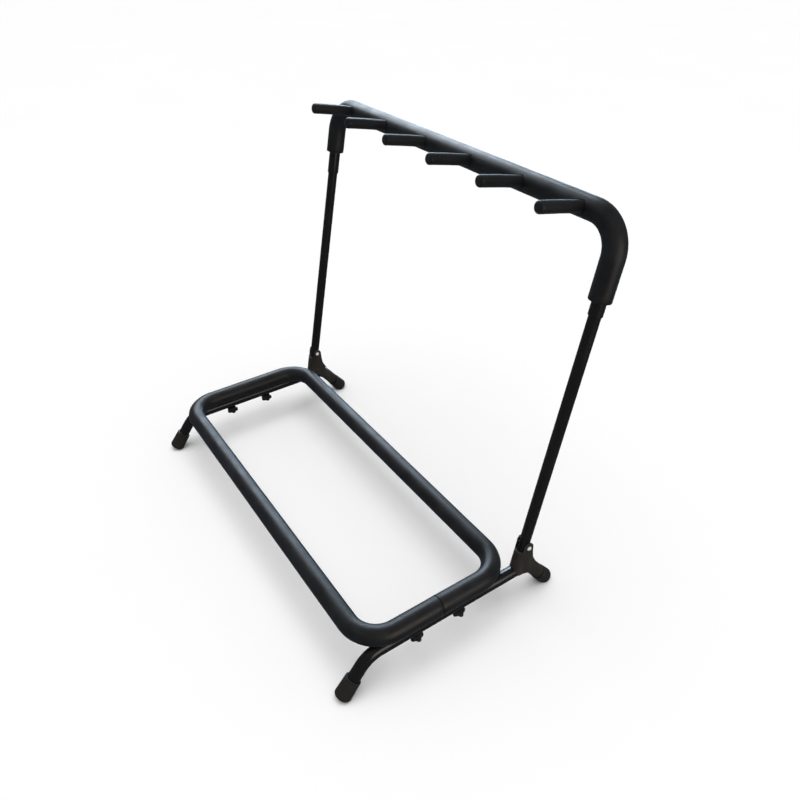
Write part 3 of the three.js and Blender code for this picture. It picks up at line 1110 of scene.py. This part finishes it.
@dataclass
class PivotHousing:
    """A moulded block on the rail's rear bend, with two ears that hold the hinge pin."""

    line: LegLine
    side: Side
    half_width: float = 13 * MM
    pocket: float = 10.1 * MM
    sweep: float = 45.6 * MM
    ear: float = 10 * MM
    rim_drop: float = 10.3 * MM
    sleeve_radius: float = 12.9 * MM
    rail_bore: float = 11.35 * MM
    pin_hole: float = 3.3 * MM
    lower_hole: float = 2.3 * MM
    lower_drop: float = 43 * MM

    def _outline(self) -> list[tuple[float, float]]:
        """The side outline.

        Returns:
            Its (y, z) points, counted from the pivot.
        """
        back, up = self.line.layout.back, self.line.layout.up

        def leaning(rearwards: float, upwards: float) -> tuple[float, float]:
            """A point on axes that lean with the upright."""
            point = back * rearwards + up * upwards
            return point.y, point.z

        points = [leaning(-self.half_width, -64 * MM),
                  leaning(-self.half_width, -self.rim_drop - 2.4 * MM),
                  (-self.ear, -self.rim_drop), (-self.ear, 0.0)]
        for i in range(1, 16):
            turn = math.pi - math.pi * i / 16
            points.append((self.ear * math.cos(turn), self.ear * math.sin(turn)))
        points.append((self.ear, 0.0))
        knee, foot = Vector((12 * MM, -42 * MM)), Vector((25 * MM, -51 * MM))
        start = Vector((self.ear, 0.0))
        for i in range(1, 15):
            t = i / 14
            points.append(tuple(start * (1 - t) ** 2 + knee * (2 * t * (1 - t)) + foot * t * t))
        points += [(22 * MM, -62 * MM), (10 * MM, -70 * MM), (2 * MM, -61 * MM)]
        return points

    def _plate(self, centre: Vector) -> bpy.types.Mesh:
        """The outline, extruded across the full width.

        Args:
            centre: the pivot.

        Returns:
            The plate.
        """
        bm = bmesh.new()
        verts = [bm.verts.new(centre + Vector((-self.half_width, y, z))) for y, z in self._outline()]
        face = bmesh.ops.contextual_create(bm, geom=verts)["faces"]
        grown = bmesh.ops.extrude_face_region(bm, geom=face)
        top = [item for item in grown["geom"] if isinstance(item, bmesh.types.BMVert)]
        bmesh.ops.translate(bm, verts=top, vec=X_AXIS * (2 * self.half_width))
        return mesh_from(bm, "housing_plate")

    def _slot(self, centre: Vector, half_width: float, half_length: float) -> bpy.types.Mesh:
        """A prism along the upright: half round in front, straight behind.

        Args:
            centre: the pivot.
            half_width: half its width, and the front's radius.
            half_length: half its length.

        Returns:
            The prism.
        """
        up, back = self.line.layout.up, self.line.layout.back
        bm = bmesh.new()
        tip = bm.verts.new(centre - up * half_length - X_AXIS * half_width)
        spun = bmesh.ops.spin(bm, geom=[tip], cent=centre - up * half_length, axis=up,
                              dvec=(0, 0, 0), angle=math.pi, steps=28, use_merge=False,
                              use_duplicate=False)
        last = [item for item in spun["geom_last"] if isinstance(item, bmesh.types.BMVert)][0]
        tail = [bm.verts.new(vert.co + back * 70 * MM) for vert in (last, tip)]
        bm.edges.new((last, tail[0]))
        bm.edges.new(tail)
        bm.edges.new((tail[1], tip))
        bmesh.ops.edgeloop_fill(bm, edges=bm.edges)
        grown = bmesh.ops.extrude_face_region(bm, geom=list(bm.faces))
        top = [item for item in grown["geom"] if isinstance(item, bmesh.types.BMVert)]
        bmesh.ops.translate(bm, verts=top, vec=up * (2 * half_length))
        return mesh_from(bm, "slot")

    def _leg_sleeve(self) -> bpy.types.Mesh:
        """The round sleeve over the rail's rear bend and leg.

        Returns:
            The sleeve, still solid.
        """
        line = self.line
        bend_start = line.corner(self.side, End.REAR) - Y_AXIS * line.setback
        first = math.radians(14)
        centre = bend_start - Z_AXIS * line.bend_radius
        turn = Matrix.Rotation(-first, 3, X_AXIS)
        start = centre + turn @ (Z_AXIS * line.bend_radius)
        run = Run(start, turn @ Y_AXIS, self.sleeve_radius, 48)
        run.bend(line.angle - first, line.bend_radius, turn @ -Z_AXIS, 10)
        length = FOOT_RIM[End.REAR] - 2.8 * MM - line.setback
        run.straight(length - 1.3 * MM, 2)
        run.profile([(0.6 * MM, self.sleeve_radius - 0.3 * MM),
                     (0.7 * MM, self.sleeve_radius - 1.1 * MM)])
        run.cap()
        return mesh_from(run.bm, "leg_sleeve")

    def _rail_tool(self) -> bpy.types.Mesh:
        """The rail's own line, a little fatter, to cut the housing's bore.

        Returns:
            The cutting tool.
        """
        line = self.line
        start = line.corner(self.side, End.REAR) - Y_AXIS * 90 * MM
        run = Run(start, Y_AXIS, self.rail_bore, 36)
        run.straight(90 * MM - line.setback)
        run.bend(line.angle, line.bend_radius, -Z_AXIS, 12)
        run.straight(70 * MM)
        return mesh_from(run.cap().bm, "rail_tool")

    def build(self) -> None:
        """Joins plate and sleeve, then cuts the bore, the pocket, the ears and the cross holes."""
        layout = self.line.layout
        centre = layout.on_side(self.side, 0.0, layout.pivot.z)
        sweep = pin_solid(centre - X_AXIS * 20 * MM, X_AXIS, 40 * MM, self.sweep, 64)
        pocket = carve(self._slot(centre, self.pocket, 90 * MM),
                       [("INTERSECT", mesh_from(sweep.bm, "sweep"))])
        gap = bmesh.new()
        place = Matrix.Translation(centre + Z_AXIS * (20 * MM - self.rim_drop))
        bmesh.ops.create_cube(gap, size=1.0,
                              matrix=place @ Matrix.Diagonal((2 * self.pocket, 0.06, 0.04, 1.0)))
        beside = centre - X_AXIS * 30 * MM
        pin = pin_solid(beside, X_AXIS, 60 * MM, self.pin_hole, 32)
        lower = pin_solid(beside - Z_AXIS * self.lower_drop, X_AXIS, 60 * MM, self.lower_hole, 20)
        bm = carve(self._plate(centre), [
            ("INTERSECT", self._slot(centre, self.half_width, 90 * MM)),
            ("UNION", self._leg_sleeve()),
            ("DIFFERENCE", self._rail_tool()),
            ("DIFFERENCE", mesh_from(pocket, "pocket")),
            ("DIFFERENCE", mesh_from(gap, "ear_gap")),
            ("DIFFERENCE", mesh_from(pin.bm, "pin_hole")),
            ("DIFFERENCE", mesh_from(lower.bm, "lower_hole")),
        ])
        bmesh.ops.remove_doubles(bm, verts=bm.verts, dist=2e-5)
        bmesh.ops.dissolve_limit(bm, angle_limit=math.radians(0.5), verts=bm.verts, edges=bm.edges)
        ease_edges(bm, 0.45 * MM, 2, 35.0)
        name = f"pivot_housing_{self.side.value}"
        publish(mesh_from(bm, name, 30.0), Tag(f"{name}_moulding", Body.BASE.value, Slot.NYLON, (name,)))


@dataclass
class HingePin:
    """A domed rivet through both ears of a housing."""

    layout: Layout
    side: Side
    half_span: float = 13.3 * MM
    shank: float = 3.0 * MM
    head: float = 4.1 * MM
    head_height: float = 2.4 * MM
    dimple: float = 1.5 * MM

    def build(self) -> None:
        """Turns the rivet about its own axis."""
        centre = self.layout.on_side(self.side, 0.0, self.layout.pivot.z)
        end = self.half_span + self.head_height - 0.5 * MM
        edge = 0.5 * self.dimple
        dome = [(-0.25 * MM, self.dimple), (-0.22 * MM, self.dimple + 0.4 * MM),
                (0.05 * MM, self.dimple + 0.9 * MM), (0.55 * MM, self.head - 1.0 * MM),
                (0.75 * MM, self.head - 0.25 * MM), (0.5 * MM, self.head)]
        run = Run(centre - X_AXIS * end, X_AXIS, edge, 40)
        run.profile(dome)
        inner = end - sum(step for step, _ in dome)
        run.profile([(inner - self.half_span, self.head), (0.0, self.shank)])
        run.grow(2 * self.half_span)
        run.profile([(0.0, self.head), (inner - self.half_span, self.head)])
        steps, radii = zip(*dome)
        run.profile(zip(reversed(steps), [*reversed(radii[:-1]), edge]))
        run.cap()
        name = f"hinge_pin_{self.side.value}"
        publish(mesh_from(run.bm, name, 50.0), Tag(f"{name}_rivet", Body.BASE.value, Slot.ZINC, (name,)))


# --- Clamps ---


@dataclass
class Clamp:
    """A lobed knob under a rail, with its stud, washer and rivet nut."""

    layout: Layout
    side: Side
    end: End
    top_z: float = 57.2 * MM
    height: float = 12 * MM
    skirt: float = 7.2 * MM
    lobes: int = 5
    core: float = 9.2 * MM
    lobe: float = 3.3 * MM
    neck: float = 8.2 * MM
    shoulder: float = 8.8 * MM
    stud_bore: float = 3.2 * MM
    recess: float = 0.8 * MM
    neck_steps: int = 5

    @property
    def label(self) -> str:
        """The clamp's place, as the frame names it."""
        return f"{self.end.value}_{self.side.value}"

    def _ring(self, run: Run, advance: float, core: float, lobe: float) -> None:
        """Grows one ring whose radius waves in and out round the knob.

        Args:
            run: the knob.
            advance: how far along it.
            core: the radius between the lobes.
            lobe: how far a lobe stands out.
        """
        run.grow(advance)
        for vert in run.verts:
            across = vert.co - run.centre
            turn = math.atan2(across.y, across.x)
            wave = (0.5 + 0.5 * math.cos(self.lobes * turn)) ** 0.8
            reach = core + lobe * wave
            vert.co = run.centre + across.normalized() * reach

    def build(self) -> None:
        """Grows the knob from the recess in its underside, and dresses the metal parts."""
        bottom = self.top_z - self.height
        start = self.layout.on_side(self.side, CLAMP_Y[self.end], bottom + self.recess)
        run = Run(start, Z_AXIS, 3.0 * MM, 80)
        run.grow(0.0, 5.2 * MM)
        run.grow(-self.recess, 5.8 * MM)
        core, lobe = self.core, self.lobe
        climb = self.height - self.skirt
        rings = [(0.0, core - 1.3 * MM, lobe * 0.8), (0.25 * MM, core - 0.5 * MM, lobe * 0.95),
                 (0.75 * MM, core, lobe), (self.skirt - 2.6 * MM, core, lobe),
                 (1.0 * MM, core - 0.35 * MM, lobe * 0.9), (0.6 * MM, core - 0.9 * MM, lobe * 0.45),
                 (0.35 * MM, self.shoulder, 0.0)]
        for i in range(1, self.neck_steps + 1):
            left = (1 - i / self.neck_steps) ** 2
            rings.append((climb / self.neck_steps * 0.9,
                          self.neck + (self.shoulder - self.neck) * left, 0.0))
        rings += [(climb * 0.1 - 0.35 * MM, self.neck - 0.3 * MM, 0.0), (0.0, self.stud_bore, 0.0),
                  (-8.7 * MM, self.stud_bore, 0.0)]
        for ring in rings:
            self._ring(run, *ring)
        run.cap()
        knob = f"clamp_knob_{self.label}"
        publish(mesh_from(run.bm, knob),
                Tag(f"{knob}_grip", f"clamp_{self.label}", Slot.KNOB, (knob,)))
        for part in ("stud", "washer", "insert"):
            dress([f"clamp_{part}_{self.label}"], FASTENER)


# --- Uprights and neck frame ---


@dataclass
class Upright:
    """A plain tube that leans back from its pivot."""

    layout: Layout
    side: Side
    radius: float = 9.5 * MM
    bore: float = 8.3 * MM
    bottom: float = -40.5 * MM
    top: float = 504.2 * MM
    pin_hole: float = 3.5 * MM
    chamfer: float = 0.3 * MM

    def build(self) -> None:
        """Grows the tube wall, out and back, and drills it for the hinge pin."""
        x = self.side.sign * self.layout.side_x
        start = self.layout.up_side(x, self.bottom)
        run = Run(start, self.layout.up, self.bore, 36, closed=False)
        eased = self.radius - self.chamfer
        run.profile([(0.0, eased), (self.chamfer, self.radius)])
        length = self.top - self.bottom
        run.straight(length - 2 * self.chamfer, 20)
        run.profile([(self.chamfer, eased), (0.0, self.bore)])
        run.heading = -run.heading
        run.grow(length)
        run.join_ends()
        centre = self.layout.up_side(x, 0.0)
        drill = pin_solid(centre - X_AXIS * 20 * MM, X_AXIS, 40 * MM, self.pin_hole, 24)
        bm = carve(mesh_from(run.bm, "upright"), [("DIFFERENCE", mesh_from(drill.bm, "drill"))])
        name = f"upright_{self.side.value}"
        publish(mesh_from(bm, name), Tag(f"{name}_tube", Body.UPRIGHTS.value, Slot.ENAMEL, (name,)))
        plugs = [f"upright_{end}_plug_{self.side.value}" for end in ("top", "bottom")]
        dress(plugs, FINISHES[Slot.NYLON])


@dataclass
class Peg:
    """One foam peg that keeps two necks apart."""

    layout: Layout
    number: int
    x: float
    bar: float
    rise: float = math.radians(11.7)
    reach: float = 97.6 * MM
    start: float = 12.6 * MM
    radius: float = 9.3 * MM
    core: float = 4.3 * MM
    core_end: float = 89.9 * MM
    bow: float = -0.7 * MM
    tip_fillet: float = 3.6 * MM

    @property
    def heading(self) -> Vector:
        """The direction from the bar to the peg's tip."""
        return Vector((0.0, -math.cos(self.rise), math.sin(self.rise)))

    def hole_tool(self, radius: float) -> bpy.types.Mesh:
        """A plug that opens the bar's foam for the peg.

        Args:
            radius: the hole's radius.

        Returns:
            The cutting tool.
        """
        foot = self.layout.up_side(self.x, self.bar)
        plug = pin_solid(foot + self.heading * 5 * MM, self.heading, 25 * MM, radius, 40)
        return mesh_from(plug.bm, "peg_hole")

    def build(self) -> None:
        """Grows the sleeve from its blind bore, over its base and along to its rounded tip."""
        foot = self.layout.up_side(self.x, self.bar)
        run = Run(foot + self.heading * self.core_end, self.heading, self.core, 36)
        run.grow(self.start - self.core_end)
        run.profile([(0.0, self.radius - 1.4 * MM), (0.35 * MM, self.radius - 0.6 * MM),
                     (0.5 * MM, self.radius - 0.15 * MM), (0.8 * MM, self.radius)])
        run.straight(self.reach - self.start - 1.65 * MM - self.tip_fillet, 12)
        round_over(run, self.tip_fillet, self.radius, 7)
        run.grow(0.12 * MM, 2.5 * MM)
        run.cap()
        side = self.heading.cross(X_AXIS)
        for vert in run.bm.verts:
            along = (vert.co - foot).dot(self.heading) / self.reach
            vert.co += side * (self.bow * 4 * (along - 0.5) ** 2 - self.bow * 0.4)
        uneven(run.bm, 0.12 * MM, 20 * MM, 1.7 * self.number)
        name = f"peg_sleeve_{self.number}"
        publish(mesh_from(run.bm, name),
                Tag(f"{name}_foam", Body.NECK.value, Slot.FOAM, (name,), padded=True))
        dress([f"peg_core_{self.number}"], FINISHES[Slot.STEEL])


@dataclass
class NeckFrame:
    """The bent neck tube with its foam and pegs."""

    layout: Layout
    foam: FoamSize = field(default_factory=FoamSize)
    bar: float = 564.4 * MM
    leg: float = 136 * MM
    bend_radius: float = 52 * MM
    radius: float = 11.1 * MM
    bore: float = 10 * MM
    bore_depth: float = 83 * MM
    foam_left: float = 92.7 * MM
    foam_right: float = 113.1 * MM
    peg_pitch: float = 123.3 * MM
    peg_count: int = 6
    peg_hole: float = 10.1 * MM
    chamfer: float = 0.3 * MM
    flare: float = 0.2 * MM

    def _follow(self, run: Run, left: float, right: float, step: float) -> None:
        """Grows up the left leg, along the bar and down the right leg.

        Args:
            run: what grows.
            left: the straight part of the left leg.
            right: the straight part of the right leg.
            step: the most that one ring advances on a straight.
        """
        up = self.layout.up
        span = 2 * (self.layout.side_x - self.bend_radius)
        run.straight(left, max(2, round(left / step)))
        run.bend(math.pi / 2, self.bend_radius, X_AXIS, 16)
        run.straight(span, round(span / step))
        run.bend(math.pi / 2, self.bend_radius, -up, 16)
        run.straight(right, max(2, round(right / step)))

    def _tube(self) -> None:
        """The steel tube, bored at both ends to slide over the uprights."""
        start = self.layout.up_side(-self.layout.side_x, self.bar - self.leg)
        run = Run(start + self.layout.up * self.bore_depth, self.layout.up, self.bore, 36)
        run.grow(-self.bore_depth + self.flare)
        wide, eased = self.bore + self.flare, self.radius - self.chamfer
        run.profile([(-self.flare, wide), (0.0, eased), (self.chamfer, self.radius)])
        straight = self.leg - self.bend_radius - self.chamfer
        self._follow(run, straight, straight, 20 * MM)
        run.profile([(self.chamfer, eased), (0.0, wide), (-self.flare, self.bore)])
        run.grow(-self.bore_depth + self.flare)
        run.cap()
        publish(mesh_from(run.bm, "neck_frame_tube_skin"),
                Tag("neck_frame_tube_skin", Body.NECK.value, Slot.ENAMEL, ("neck_frame_tube",)))

    def _foam(self, pegs: Sequence[Peg]) -> None:
        """The foam sleeve, opened where each peg goes in.

        Args:
            pegs: the pegs.
        """
        start = self.layout.up_side(-self.layout.side_x, self.bar - self.foam_left)
        spent = self.foam.end_fillet
        run = foam_sleeve(self.foam, start, self.layout.up, lambda run: self._follow(
            run, self.foam_left - self.bend_radius - spent,
            self.foam_right - self.bend_radius - spent, self.foam.step))
        uneven(run.bm, 0.2 * MM, 45 * MM, 8.4)
        bm = carve(mesh_from(run.bm, "neck_foam"),
                   [("DIFFERENCE", peg.hole_tool(self.peg_hole)) for peg in pegs])
        publish(mesh_from(bm, "neck_foam_skin"),
                Tag("neck_foam_skin", Body.NECK.value, Slot.FOAM, ("neck_foam",), padded=True))

    def build(self) -> None:
        """Makes the tube, the foam and the six pegs."""
        middle = (self.peg_count - 1) / 2
        pegs = [Peg(self.layout, i + 1, (i - middle) * self.peg_pitch, self.bar)
                for i in range(self.peg_count)]
        self._tube()
        self._foam(pegs)
        for peg in pegs:
            peg.build()
        dress(["neck_stop_pin_left", "neck_stop_pin_right"], FINISHES[Slot.ZINC])


# --- Studio ---


@dataclass(frozen=True)
class Softbox:
    """A large lamp aimed at a point."""

    name: str
    place: tuple[float, float, float]
    aim: tuple[float, float, float]
    width: float
    height: float
    power: float
    colour: Colour = (1.0, 1.0, 1.0)

    def build(self, spared: bpy.types.Collection) -> None:
        """Adds the lamp.

        Args:
            spared: holds what the lamp doesn't light.
        """
        lamp = bpy.data.lights.new(self.name, "AREA")
        lamp.shape = "RECTANGLE"
        lamp.size = self.width
        lamp.size_y = self.height
        lamp.energy = self.power
        lamp.color = self.colour
        box = bpy.data.objects.new(self.name, lamp)
        place = Vector(self.place)
        box.location = place
        box.rotation_euler = (Vector(self.aim) - place).to_track_quat("-Z", "Y").to_euler()
        bpy.context.scene.collection.objects.link(box)
        box.light_linking.receiver_collection = spared


@dataclass
class Studio:
    """Pale floor, soft light and the camera."""

    target: tuple[float, float, float] = (-0.0008, 0.12422, 0.20904)
    azimuth: float = math.radians(56.126)
    elevation: float = math.radians(36.041)
    roll: float = math.radians(-0.28)
    distance: float = 1.4258
    lens: float = 32.02
    sensor: float = 36.0
    floor_size: float = 60.0
    dome: float = 0.62
    overhead: float = 3.65
    lamp_spread: float = math.radians(27)
    room: float = 0.08

    def _floor(self) -> bpy.types.Object:
        """A wide pale floor, which gloss doesn't mirror.

        Returns:
            The floor.
        """
        bm = bmesh.new()
        bmesh.ops.create_grid(bm, x_segments=4, y_segments=4, size=self.floor_size / 2)
        bmesh.ops.translate(bm, verts=bm.verts, vec=(0, 0, -0.0002))
        mesh = bpy.data.meshes.new("studio_floor")
        bm.to_mesh(mesh)
        bm.free()
        bench = Bench("studio_floor")
        cloudy = bench.noise(1.5, 2.0)
        bench.surface({"Base Color": bench.tint(cloudy, (0.80, 0.80, 0.80), (0.82, 0.82, 0.82)),
                       "Roughness": 0.9, "Specular IOR Level": 0.1})
        mesh.materials.append(bench.material)
        floor = bpy.data.objects.new("studio_floor", mesh)
        floor.visible_glossy = False
        bpy.context.scene.collection.objects.link(floor)
        return floor

    @staticmethod
    def _spare(floor: bpy.types.Object) -> bpy.types.Collection:
        """Keeps the lamps off the floor, which the dome alone lights.

        Args:
            floor: the floor.

        Returns:
            A collection that the lamps leave out.
        """
        spared = bpy.data.collections.new("lit_by_dome_only")
        spared.objects.link(floor)
        spared.collection_objects[0].light_linking.link_state = "EXCLUDE"
        return spared

    def _sky(self) -> None:
        """An even white dome over the floor, with a darker room for gloss to mirror."""
        world = bpy.data.worlds.new("studio_sky")
        world.use_nodes = True
        bench = TreeBench(world.node_tree)

        def background(strength: Value, colour: Colour = (1.0, 1.0, 1.0)) -> Wire:
            """Light of one colour from everywhere."""
            inputs = {"Color": (*colour, 1.0), "Strength": strength}
            return bench.add("ShaderNodeBackground", {}, inputs).out()

        def choose(mask: Wire, first: Wire, second: Wire) -> Wire:
            """The first light where the mask is 0, the second where it is 1."""
            return bench.add("ShaderNodeMixShader", {}, {0: mask, 1: first, 2: second}).out()

        rays = bench.add("ShaderNodeLightPath", {}, {})
        outlook = bench.add("ShaderNodeTexCoord", {}, {}).out("Generated")
        height = bench.add("ShaderNodeSeparateXYZ", {}, {0: outlook}).out("Z")
        strength = height.ramped(math.cos(self.lamp_spread * 1.3), math.cos(self.lamp_spread * 0.6),
                                 self.dome, self.overhead)
        lit = choose(rays.out("Is Glossy Ray"), background(strength),
                     background(self.room, (0.80, 0.90, 1.0)))
        shown = choose(rays.out("Is Camera Ray"), lit, background(1.0))
        bench.add("ShaderNodeOutputWorld", {}, {"Surface": shown})
        bpy.context.scene.world = world
        bpy.context.scene.view_settings.view_transform = "Standard"

    def _camera(self) -> None:
        """A camera that looks down on the front right corner."""
        back = Vector((math.sin(self.azimuth) * math.cos(self.elevation),
                       -math.cos(self.azimuth) * math.cos(self.elevation), math.sin(self.elevation)))
        data = bpy.data.cameras.new("studio_camera")
        data.lens = self.lens
        data.sensor_width = self.sensor
        data.clip_end = 100.0
        camera = bpy.data.objects.new("studio_camera", data)
        aim = (-back).to_track_quat("-Z", "Y").to_matrix().to_4x4()
        camera.matrix_world = (Matrix.Translation(Vector(self.target) + back * self.distance)
                               @ aim @ Matrix.Rotation(self.roll, 4, "Z"))
        bpy.context.scene.collection.objects.link(camera)
        bpy.context.scene.camera = camera

    def build(self) -> None:
        """Sets the stage."""
        spared = self._spare(self._floor())
        self._sky()
        self._camera()
        Softbox("window_box", (-2.7, 1.1, 2.3), (0.0, 0.0, 0.4), 2.8, 1.2, 102.0,
                (0.80, 0.90, 1.0)).build(spared)
        Softbox("sill_box", (-2.3, 1.9, 0.72), (0.0, 0.2, 0.6), 2.4, 0.8, 36.0,
                (0.52, 0.74, 1.0)).build(spared)
        Softbox("warm_box", (2.4, 0.35, 0.7), (0.2, 0.0, 0.2), 1.8, 1.4, 13.0,
                (1.0, 0.88, 0.74)).build(spared)


# --- The rack ---


def main() -> None:
    """Builds every piece in order."""
    logging.basicConfig(level=logging.INFO, format="%(message)s")
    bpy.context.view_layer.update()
    layout = Layout.from_frame()
    line = LegLine(layout)
    Studio().build()
    BaseLoop(layout).build()
    for side in Side:
        SideRail(line, side).build()
        PivotHousing(line, side).build()
        HingePin(layout, side).build()
        Upright(layout, side).build()
        for end in End:
            Foot(line, side, end).build()
            Clamp(layout, side, end).build()
    NeckFrame(layout).build()


if __name__ == "__main__":
    main()
